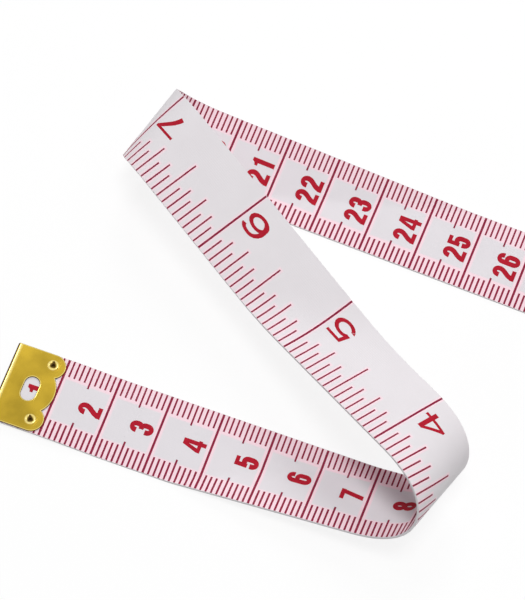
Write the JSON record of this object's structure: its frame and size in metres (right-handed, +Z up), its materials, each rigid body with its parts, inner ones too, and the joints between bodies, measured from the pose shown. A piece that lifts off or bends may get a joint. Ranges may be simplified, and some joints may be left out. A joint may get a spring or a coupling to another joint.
{
  "type": "tape measure",
  "caption": "Flexible coated-cloth tape measure lying in a loose Z fold, a riveted brass clip over each end, the rest of its length wound in a standing roll.",
  "frame": {"origin": "middle of the footprint, at the height of the table that the tape lies on", "axes": "+Z up; +X across the picture from the clipped zero end towards the roll; +Y away from the camera"},
  "size_m": [0.1464, 0.0844, 0.042],
  "materials": {
    "coated_cloth": "satin",
    "brass": "satin"
  },
  "bodies": {
    "root": {"tape_zero_run": "coated_cloth", "tape_lower_bend": "coated_cloth", "tape_crossing_run": "coated_cloth", "tape_upper_bend": "coated_cloth", "tape_outer_run": "coated_cloth", "tape_roll": "coated_cloth", "zero_clip": "brass", "zero_clip_rivet_a": "brass", "zero_clip_rivet_b": "brass", "far_clip": "brass", "far_clip_rivet_a": "brass", "far_clip_rivet_b": "brass"}
  },
  "joints": []
}
